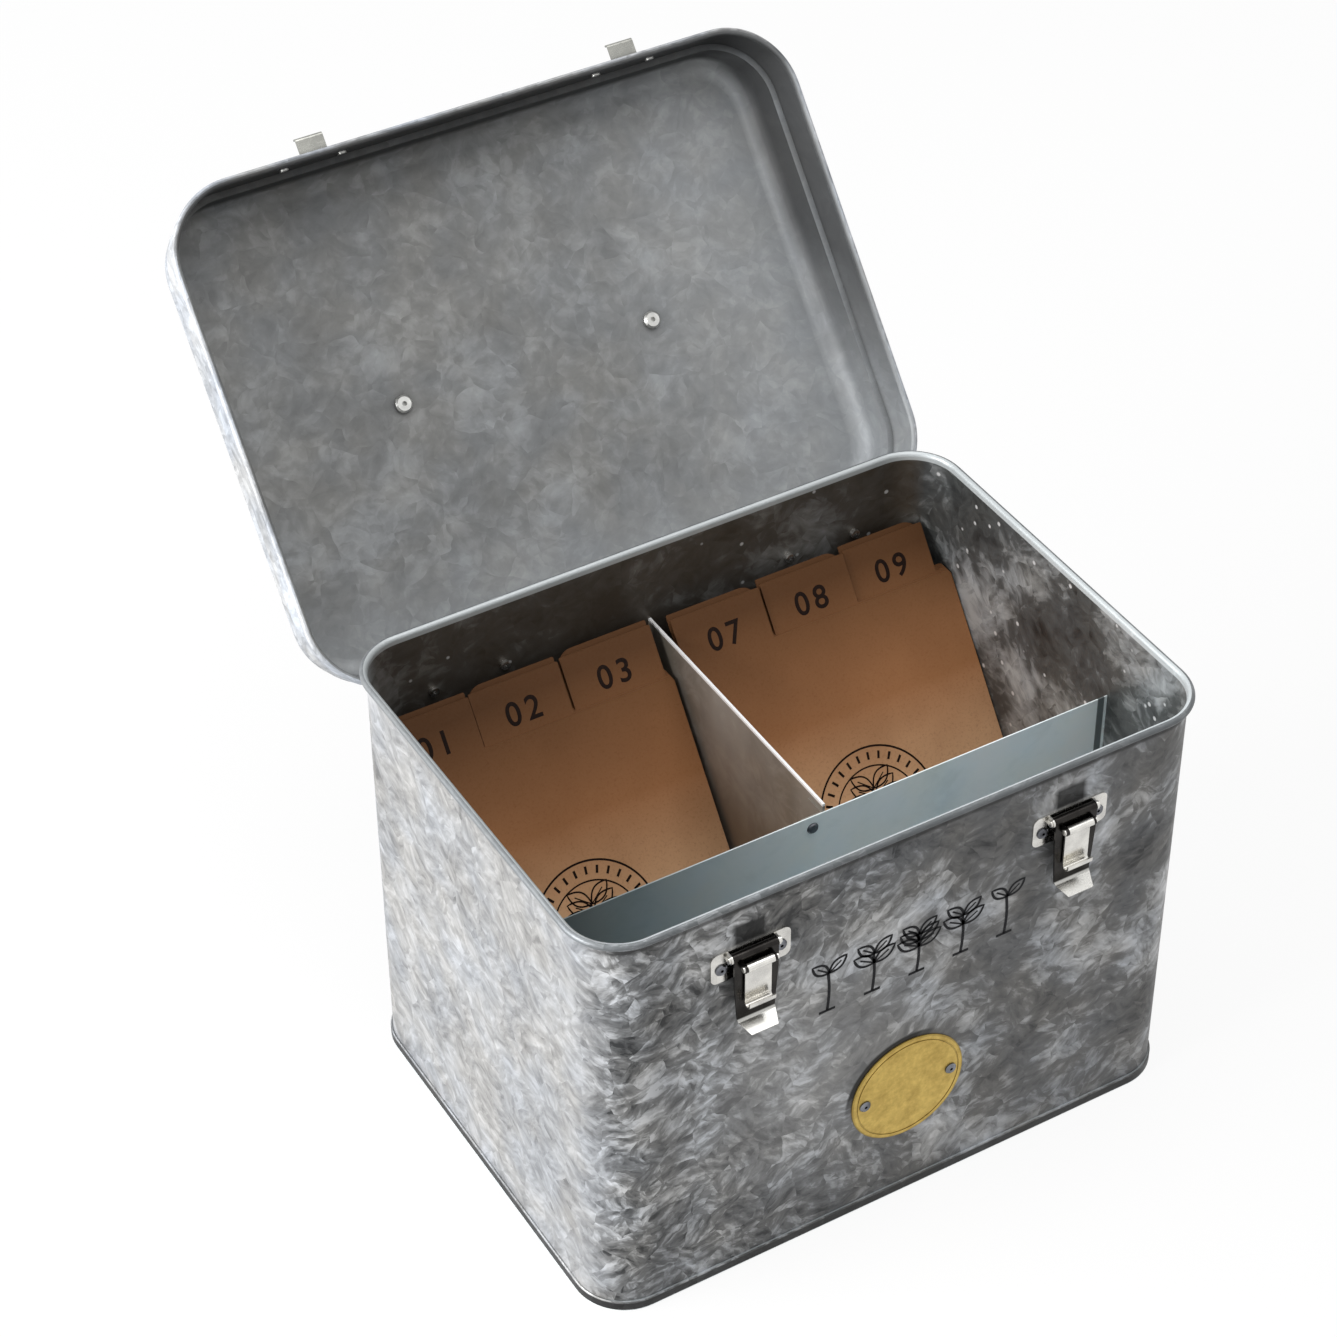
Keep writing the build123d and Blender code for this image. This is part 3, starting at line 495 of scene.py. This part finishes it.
def inner_zinc(name, dark, middle, light, metallic=0.35, partition=False, divider=False):
    """Clean zinc sheet. The partition has painted shade along its length, and a painted highlight and
    painted shade in the gap at its right end; the divider a painted highlight at its top edge.
    """
    material, tree, shader = new_material(name, metallic)
    spot = where(tree)
    zinc = use_group(
        tree, SPANGLE, crystal=0.016, flake=0.0024, flakes=0.16, clouds=0.5,
        dark=dark, middle=middle, light=light, tints=0.3,
    )
    # Long soft paler streaks, painted as reflections in the sheet; the same noise gives its bumps.
    painted_sheen = noise(tree, along(tree, "MULTIPLY", at_rest(tree), (1.0, 1.0, 0.12)), 36.0).outputs["Fac"]
    colour = blend_colours(tree, spread(tree, painted_sheen, 0.35, 0.7, 0.0, 0.5), zinc["Colour"], light)
    if partition:
        # Painted shade towards the left end, a painted highlight, and painted shade in the gap at the right
        # end.
        colour = wash(tree, colour, fade(tree, spot["X"], *PARTITION_SHADE), 0.85, tint(58, 74, 76))
        painted_highlight = band(tree, spot["X"], *PARTITION_HIGHLIGHT, 0.008)
        colour = wash(tree, colour, painted_highlight, 0.5, tint(250, 254, 255))
        gap_shade = band(tree, spot["X"], *PARTITION_GAP_SHADE, 0.0004)
        colour = wash(tree, colour, gap_shade, 0.85, tint(40, 52, 54))
    if divider:
        # A painted highlight along the divider's top edge.
        colour = wash(tree, colour, spread(tree, spot["Z"], *TOP_EDGE_HIGHLIGHT), 0.95, grey(255))
    roughness = spread(tree, zinc["Tone"], 0.0, 1.0, 0.42, 0.3)
    coat(tree, shader, colour, roughness, painted_sheen, 0.0004, 0.4)
    return material


BLUE_ZINC = (tint(206, 222, 226), tint(240, 252, 255), tint(252, 255, 255))
PARTITION_ZINC = inner_zinc("partition_zinc", *BLUE_ZINC, metallic=0.15, partition=True)
DIVIDER_ZINC = inner_zinc(
    "divider_zinc", tint(92, 87, 80), tint(124, 117, 108), tint(176, 170, 162), divider=True
)
dress("front_partition", PARTITION_ZINC)
dress("base_pan", inner_zinc("base_zinc", *BLUE_ZINC, metallic=0.15))
dress("centre_divider", DIVIDER_ZINC)
dress("divider_clips", DIVIDER_ZINC)
dress("rim_wire", inner_zinc("rim_wire_steel", grey(90), grey(140), grey(190), 0.9))

# ---------------------------------------------------------------------------------------------
# Lid. Its panel and stepped skirt are drawn from one zinc sheet, and its edge is rolled. The inside
# keeps a smooth cloudy grey, and the outside has the same aged crystals as the body.

LID_LOW, LID_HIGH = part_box("lid_shell")
LIT_TO_RIGHT = (0.03, 0.15)
LIT_AT_FOOT = (LID_LOW.z, LID_LOW.z + 0.03)
SHADED_SIDE = (LID_LOW.z + 0.02, LID_HIGH.z - 0.09)
SHADED_RIM = (LID_HIGH.z - 0.022, LID_HIGH.z - 0.016)


def lid_zinc():
    """Aged outside and cloudy inside, with painted light inside to the right and at the foot, and painted
    shade on the skirt and rim as they lie when it is open.
    """
    material, tree, shader = new_material("lid_zinc", 0.3)
    spot = where(tree)
    facing = add_node(tree, "SeparateXYZ", {0: add_node(tree, "TexCoord").outputs["Normal"]}).outputs
    outer = use_group(tree, OUTER_SIDE, centre=(LID_LOW + LID_HIGH) / 2)["Mask"]
    outside = use_group(
        tree, SPANGLE, crystal=AGED_CRYSTAL, flake=AGED_FLAKE, flakes=0.34, clouds=0.3,
        dark=tint(92, 94, 98), middle=tint(176, 179, 184), light=tint(232, 236, 242), tints=0.35,
    )
    inside = use_group(
        tree, SPANGLE, crystal=0.014, flake=0.0034, flakes=0.24, clouds=0.28,
        dark=tint(84, 85, 85), middle=tint(129, 130, 130), light=tint(180, 182, 183), tints=0.2,
    )

    # Painted light to the right and at the foot of the inside.
    lit = maths(
        tree, "MAXIMUM", spread(tree, spot["X"], *LIT_TO_RIGHT), fade(tree, spot["Z"], *LIT_AT_FOOT)
    )
    inner_colour = wash(tree, inside["Colour"], lit, 0.22, tint(222, 228, 234))
    # Painted shade on inside faces that look down and on the upper inside of the right skirt.
    inner_colour = wash(tree, inner_colour, fade(tree, facing["Z"], -0.75, -0.35), 0.95, grey(20))
    shaded_side = times(tree, fade(tree, facing["X"], -0.8, -0.3), spread(tree, spot["Z"], *SHADED_SIDE))
    inner_colour = wash(tree, inner_colour, shaded_side, 0.85, grey(48))
    colour = blend_colours(tree, outer, inner_colour, outside["Colour"])
    # Painted shade along the top rim, then dust and painted shade in the creases.
    shaded_rim = times(tree, spread(tree, spot["Z"], *SHADED_RIM), fade(tree, facing["Y"], -0.6, -0.2))
    colour = wash(tree, colour, shaded_rim, 0.6, grey(36))
    colour = wash(tree, colour, use_group(tree, CREASES, reach=0.003)["Mask"], 0.55, grey(30))

    roughness = spread(tree, inside["Tone"], 0.0, 1.0, 0.64, 0.5)
    grain = noise(tree, at_rest(tree), 900.0, 3.0).outputs["Fac"]
    coat(tree, shader, colour, roughness, grain, 0.00008, 0.5)
    return material


dress("lid_shell", lid_zinc())

# ---------------------------------------------------------------------------------------------
# Hinges, latches, keepers, bail and its clips. All are stamped or bent from steel and plated with
# bright nickel, which is finely scratched, hazy in patches, and darker round the folds with dust and
# painted shade. The latch levers are painted dark as a painted dark reflection, but for the lip that
# the finger lifts.

LIP_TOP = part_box("latch_lever_left")[0].z + 0.0042


def scratch_group():
    """Fine crossing scratches and handling marks on plated metal."""
    tree, given, result = new_group("plating_scratches", {"Amount": 1.0}, {"Mask": float})
    place = at_rest(tree)
    every = 0.0
    for stretch in ((1.0, 1.0, 0.05), (0.05, 1.0, 1.0)):
        fine = noise(tree, along(tree, "MULTIPLY", place, stretch), 2400.0, 3.0, 0.6).outputs["Fac"]
        every = maths(tree, "MAXIMUM", spread(tree, fine, 0.56, 0.74), every)
    tree.links.new(maths(tree, "MULTIPLY", every, given["Amount"]), result["Mask"])
    return tree


SCRATCHES = scratch_group()


def plated(name, base, worn, roughness, dust_and_shade=0.5, plain_below=None):
    """Nickel plating over steel, hazy in places, and plain bright nickel below a height where one is given.
    """
    material, tree, shader = new_material(name, 1.0)
    scratches = use_group(tree, SCRATCHES, amount=1.0)["Mask"]
    breath = noise(tree, at_rest(tree), 140.0, 3.0).outputs["Fac"]
    colour = blend_colours(tree, spread(tree, breath, 0.3, 0.75), base, worn)
    if plain_below:
        plain_lip = fade(tree, where(tree)["Z"], plain_below - 0.0003, plain_below + 0.0003)
        colour = blend_colours(tree, plain_lip, colour, tint(188, 187, 183))
    colour = wash(tree, colour, use_group(tree, CREASES, reach=0.002)["Mask"], dust_and_shade, grey(24))
    haze = spread(tree, breath, 0.3, 0.8, roughness, roughness + 0.16)
    roughness = maths(tree, "ADD", haze, maths(tree, "MULTIPLY", scratches, 0.18))
    coat(tree, shader, colour, roughness, scratches, 0.00001, 0.6)
    return material


NICKEL = plated("bright_nickel", tint(238, 236, 230), tint(204, 202, 198), 0.14, dust_and_shade=0.25)
KEEPER_NICKEL = plated("keeper_nickel", tint(168, 168, 162), tint(132, 132, 128), 0.2)
# The lever is painted dark as a painted dark reflection, and its lip keeps plain nickel.
LEVER_PAINTED_DARK = plated(
    "lever_nickel_painted_dark", tint(58, 56, 54), tint(38, 36, 35), 0.18, plain_below=LIP_TOP
)
for side in SIDES:
    for kind in (
        "hinge_body_leaf", "hinge_pin", "hinge_lid_leaf", "latch_base", "lever_pin",
        "claw_pin", "latch_claw", "handle_clip",
    ):
        dress(f"{kind}_{side}", NICKEL)
    dress(f"keeper_{side}", KEEPER_NICKEL)
    dress(f"latch_lever_{side}", LEVER_PAINTED_DARK)
dress("handle_bail", NICKEL)

RIVET_STEEL = plated("rivet_steel", tint(226, 226, 222), tint(176, 176, 174), 0.24, dust_and_shade=0.2)
# Darker rivet steel, with strong dust and painted shade in its creases and hollows.
DARK_RIVET = plated("dark_rivet_steel", tint(150, 152, 158), tint(64, 65, 70), 0.14, dust_and_shade=0.8)
for side in SIDES:
    for kind in ("hinge_body_rivets", "hinge_lid_rivets", "keeper_rivets"):
        dress(f"{kind}_{side}", RIVET_STEEL)
    dress(f"latch_rivets_{side}", DARK_RIVET)
dress("handle_rivets", RIVET_STEEL)
dress("divider_rivets", DARK_RIVET)
dress("name_plate_rivets", DARK_RIVET)

# ---------------------------------------------------------------------------------------------
# Brass plate. A thin round disc of yellow brass, brushed and a little tarnished, with a turned
# groove near its edge. It is held by two small rivets and left without any words.

def brass():
    material, tree, shader = new_material("plate_brass", 0.6)
    place = at_rest(tree)
    flat = along(tree, "MULTIPLY", along(tree, "SUBTRACT", place, PLATE_CENTRE), (1, 0, 1))
    radius = add_node(tree, "VectorMath", {0: flat}, operation="LENGTH").outputs["Value"]
    tarnish = noise(tree, place, 170.0, 5.0, 0.7).outputs["Fac"]
    colour = blend_colours(tree, spread(tree, tarnish, 0.32, 0.68), tint(232, 200, 108), tint(190, 158, 74))
    # Painted shade darkens the plate near its edge; dust and painted shade gather in creases.
    rim = spread(tree, radius, PLATE_RADIUS - 0.0009, PLATE_RADIUS - 0.0004)
    colour = wash(tree, colour, rim, 0.4, tint(92, 70, 26))
    colour = wash(tree, colour, use_group(tree, CREASES, reach=0.0012)["Mask"], 0.7, tint(60, 46, 20))
    brushed = noise(tree, along(tree, "MULTIPLY", place, (0.2, 1.0, 1.0)), 2200.0).outputs["Fac"]
    coat(tree, shader, colour, spread(tree, brushed, 0.3, 0.7, 0.34, 0.48), brushed, 0.00002, 0.7)
    return material


dress("name_plate", brass())

# ---------------------------------------------------------------------------------------------
# Month cards. Twelve dividers die-cut from brown kraft board lean back in two stacks of six. Each
# tab carries its month as a plain number in dark ink, and a round stamp of a sprig sits on the face.

CARD_LEAN = radians(36.6)
CARD_FOOT = (-0.03605, 0.0009)
CARD_STEP = 0.00098
CARD_THICKNESS = 0.00075
CARDS_EACH_SIDE = 6
TAB_STARTS = (0.0046, 0.0505, 0.0940)
TAB_ENDS = (0.0490, 0.0934, 0.1353)
LABEL_RISE = 0.200
LABEL_SIZE = 0.01458
LABEL_BOLD = 0.0002
LABEL_SPACING = 1.3
STAMP_RISE = 0.103
STAMP_ACROSS = {"left": -0.071, "right": 0.072}
STAMP_RADIUS = 0.029
STAMP_LINE = 0.0009
STAMP_INNER_RING = 0.7
STAMP_SEEDS = 30
SEED_RADII = (0.8, 0.86, 0.92)
LIT_FOOT = (0.07, 0.122)
SHADED_TOP = (0.118, 0.168)
INK_PROUD = 0.00004
UP_CARD = Vector((0, sin(CARD_LEAN), cos(CARD_LEAN)))
CARD_NORMAL = Vector((0, -cos(CARD_LEAN), sin(CARD_LEAN)))


def kraft():
    """Brown board with pulp and fibres, with painted light at the foot and painted shade towards the tabs.
    """
    material, tree, shader = new_material("kraft_board", 0.0, 0.3)
    place = at_rest(tree)
    height = where(tree)["Z"]
    pulp = noise(tree, place, 900.0, 4.0, 0.7).outputs["Fac"]
    stretched = along(tree, "MULTIPLY", place, (0.22, 1.0, 1.0))
    fibres = noise(tree, stretched, 1900.0, 3.0, 0.65).outputs["Fac"]
    mottling = noise(tree, place, 30.0, 3.0).outputs["Fac"]
    # Painted light makes the board paler at the foot, and painted shade darker towards the tabs.
    colour = blend_colours(tree, spread(tree, height, *LIT_FOOT), tint(250, 206, 162), tint(176, 122, 80))
    colour = wash(tree, colour, spread(tree, mottling, 0.35, 0.7), 0.3, tint(140, 92, 54))
    colour = wash(tree, colour, spread(tree, pulp, 0.52, 0.7), 0.3, tint(128, 78, 46))
    colour = wash(tree, colour, spread(tree, fibres, 0.6, 0.72), 0.1, tint(206, 160, 120))
    colour = wash(tree, colour, spread(tree, height, *SHADED_TOP), 0.92, tint(76, 46, 19))
    coat(tree, shader, colour, spread(tree, pulp, 0.3, 0.7, 0.6, 0.78), pulp, 0.00004, 0.5)
    return material


KRAFT = kraft()
CARD_INK = ink("card_ink", tint(24, 14, 10), tint(46, 28, 18))


def card_names(side):
    """The cards of one stack, from the front, with their numbers."""
    first = 1 if side == "left" else 1 + CARDS_EACH_SIDE
    return [(number, f"month_card_{number:02d}") for number in range(first, first + CARDS_EACH_SIDE)]


def card_point(order, across, up):
    """A point just off the front of the card that stands at that order from the front."""
    foot = Vector((across, CARD_FOOT[0] + order * CARD_STEP / cos(CARD_LEAN), CARD_FOOT[1]))
    return foot + UP_CARD * up + CARD_NORMAL * (CARD_THICKNESS + INK_PROUD)


def tab_centre(side, order):
    """Across position of the middle of a card's tab; the tabs step along from the left."""
    place = order % len(TAB_STARTS)
    if side == "left":
        place = len(TAB_STARTS) - 1 - place
    middle = (TAB_STARTS[place] + TAB_ENDS[place]) / 2
    return middle if side == "right" else -middle


def numeral(name, text, place, body):
    """Flat printed figures on a card, centred on a place."""
    data = bpy.data.curves.new(name, "FONT")
    data.body = text
    data.align_x = "CENTER"
    data.align_y = "CENTER"
    data.size = LABEL_SIZE
    data.offset = LABEL_BOLD
    data.space_character = LABEL_SPACING
    label = bpy.data.objects.new(name, data)
    bpy.context.scene.collection.objects.link(label)
    turn = Matrix((Vector((1, 0, 0)), UP_CARD, CARD_NORMAL)).transposed().to_4x4()
    label.matrix_world = Matrix.Translation(place) @ turn
    data.materials.append(CARD_INK)
    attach(label, body)


def circle(radius, count=72):
    return [(radius * cos(2 * pi * n / count), radius * sin(2 * pi * n / count)) for n in range(count)]


def stamp():
    """Two rings with a ring of seeds between them, round a sprig."""
    shapes = stroke(circle(STAMP_RADIUS), STAMP_LINE, closed=True)
    shapes += stroke(circle(STAMP_RADIUS * STAMP_INNER_RING), STAMP_LINE * 0.8, closed=True)
    for number in range(STAMP_SEEDS):
        angle = 2 * pi * number / STAMP_SEEDS
        out = Vector((cos(angle), sin(angle))) * STAMP_RADIUS
        shapes += stroke([out * radius for radius in SEED_RADII], STAMP_LINE * 1.3)
    low = Vector((0, -0.5 * STAMP_RADIUS))
    sprig = seedling(STAMP_RADIUS, 3, STAMP_LINE)
    return shapes + [tuple(corner + low for corner in shape) for shape in sprig]


STAMP = stamp()
for side in SIDES:
    for order, (number, card) in enumerate(card_names(side)):
        dress(card, KRAFT)
        label_place = card_point(order, tab_centre(side, order), LABEL_RISE)
        numeral(f"card_number_{number:02d}", f"{number:02d}", label_place, card)
        printed(
            f"card_stamp_{number:02d}", STAMP, CARD_INK, card_point(order, STAMP_ACROSS[side], STAMP_RISE),
            Vector((1, 0, 0)), UP_CARD, card,
        )

# ---------------------------------------------------------------------------------------------
# Floor and light. A pale seamless floor that shows as white with a faint shadow, a large soft light
# on the left, a weaker one above, and the same white all round where the floor ends.

FLOOR_HALF = 6.0
FLOOR_GLOW = 0.9
WHITE_IN_GLOSS = 0.85
floor_mesh = bpy.data.meshes.new("studio_floor")
corners = [Vector((x, y, 0)) * FLOOR_HALF for x, y in ((-1, -1), (1, -1), (1, 1), (-1, 1))]
floor_mesh.from_pydata(corners, [], [(0, 1, 2, 3)])
floor = bpy.data.objects.new("studio_floor", floor_mesh)
bpy.context.scene.collection.objects.link(floor)


def white_to_see(tree, in_gloss):
    """How far a ray sees the white background: all of it from the camera and glass, less in gloss."""
    path = add_node(tree, "LightPath").outputs
    direct = maths(tree, "MAXIMUM", path["Is Camera Ray"], path["Is Transmission Ray"])
    return maths(tree, "MAXIMUM", direct, maths(tree, "MULTIPLY", path["Is Glossy Ray"], in_gloss))


floor_material = bpy.data.materials.new("studio_floor")
floor_material.use_nodes = True
floor_tree = floor_material.node_tree
floor_tree.nodes.clear()
paint = blend_colours(floor_tree, white_to_see(floor_tree, 0.0), grey(172), grey(250))
matt = add_node(floor_tree, "BsdfDiffuse", {"Color": paint}).outputs[0]
glow = add_node(floor_tree, "Emission", {"Color": grey(255), "Strength": 1.0}).outputs[0]
share = maths(floor_tree, "MULTIPLY", white_to_see(floor_tree, WHITE_IN_GLOSS), FLOOR_GLOW)
mixed = add_node(floor_tree, "MixShader", {0: share, 1: matt, 2: glow}).outputs[0]
add_node(floor_tree, "OutputMaterial", {"Surface": mixed})
floor_mesh.materials.append(floor_material)

world = bpy.data.worlds.new("studio")
bpy.context.scene.world = world
world.use_nodes = True
world.node_tree.nodes.clear()
room_light = add_node(world.node_tree, "Background", {"Color": grey(255), "Strength": 0.3}).outputs[0]
backdrop = add_node(world.node_tree, "Background", {"Color": grey(255), "Strength": 1.0}).outputs[0]
seen = white_to_see(world.node_tree, 1.0)
mixed = add_node(world.node_tree, "MixShader", {0: seen, 1: room_light, 2: backdrop}).outputs[0]
add_node(world.node_tree, "OutputWorld", {"Surface": mixed})


def softbox(name, place, target, size, power):
    """A soft rectangular lamp, in metres and watts."""
    data = bpy.data.lights.new(name, "AREA")
    data.shape = "RECTANGLE"
    data.size, data.size_y = size
    data.energy = power
    light = bpy.data.objects.new(name, data)
    bpy.context.scene.collection.objects.link(light)
    light.location = place
    light.rotation_euler = (Vector(target) - Vector(place)).to_track_quat("-Z", "Y").to_euler()


softbox("key_light", place=(-2.2, 0.3, 0.9), target=(0, 0, 0.12), size=(1.6, 1.4), power=84)
softbox("top_light", place=(0.1, -0.3, 2.4), target=(0, 0, 0.1), size=(1.8, 1.8), power=26)

# ---------------------------------------------------------------------------------------------
# Camera. It stands to the left of the box and looks down on it through a long lens.

CAMERA_PLACE = Vector((-0.5915, -0.9211, 1.1320))
CAMERA_AZIMUTH = radians(-30.44)
CAMERA_ELEVATION = radians(39.97)
CAMERA_ROLL = radians(-0.36)
CAMERA_LENS = 95.0
CAMERA_SENSOR = 36.0

camera_data = bpy.data.cameras.new("camera")
camera_data.lens = CAMERA_LENS
camera_data.sensor_width = CAMERA_SENSOR
camera = bpy.data.objects.new("camera", camera_data)
bpy.context.scene.collection.objects.link(camera)
back = Vector((
    sin(CAMERA_AZIMUTH) * cos(CAMERA_ELEVATION),
    -cos(CAMERA_AZIMUTH) * cos(CAMERA_ELEVATION),
    sin(CAMERA_ELEVATION),
))
level = Vector((cos(CAMERA_AZIMUTH), sin(CAMERA_AZIMUTH), 0))
upright = back.cross(level)
across = level * cos(CAMERA_ROLL) + upright * sin(CAMERA_ROLL)
up = upright * cos(CAMERA_ROLL) - level * sin(CAMERA_ROLL)
camera.matrix_world = Matrix.Translation(CAMERA_PLACE) @ Matrix((across, up, back)).transposed().to_4x4()
bpy.context.scene.camera = camera
bpy.context.scene.view_settings.view_transform = "Standard"
